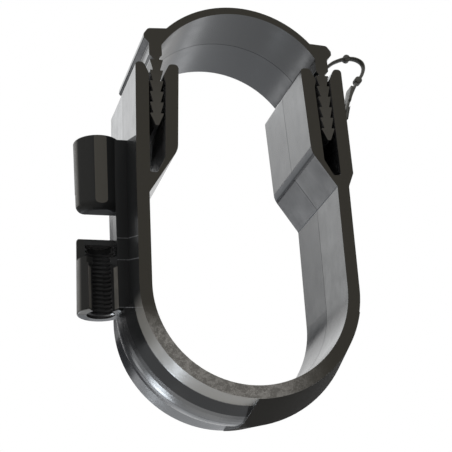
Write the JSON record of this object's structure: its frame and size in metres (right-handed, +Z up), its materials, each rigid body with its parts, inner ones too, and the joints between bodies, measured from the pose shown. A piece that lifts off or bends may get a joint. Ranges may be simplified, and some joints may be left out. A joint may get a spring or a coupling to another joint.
{
  "type": "pipe collar clip",
  "caption": "U-shaped plastic pipe clip with a snap-in ratchet cap on a strap, and two threaded rod sockets on its side.",
  "frame": {"origin": "centre of the pipe seat, midway between the clip's two end faces", "axes": "+Y along the pipe, away from the viewer; +Z up, from the seat towards the cap; the rod sockets stand on the -X side"},
  "size_m": [0.0916, 0.0374, 0.1199],
  "materials": {
    "body_plastic": "satin black moulding, matt on its two end faces",
    "strap_plastic": "thin flexible black moulding"
  },
  "bodies": {
    "saddle": {"saddle": "body_plastic", "strap": "strap_plastic"},
    "cap": {"cap": "body_plastic"}
  },
  "joints": [
    {"name": "cap_slide", "type": "slide", "parent": "saddle", "child": "cap", "axis": [0, 0, 1], "range_m": [-0.0033, 0.0098], "deforming": ["strap"]}
  ]
}
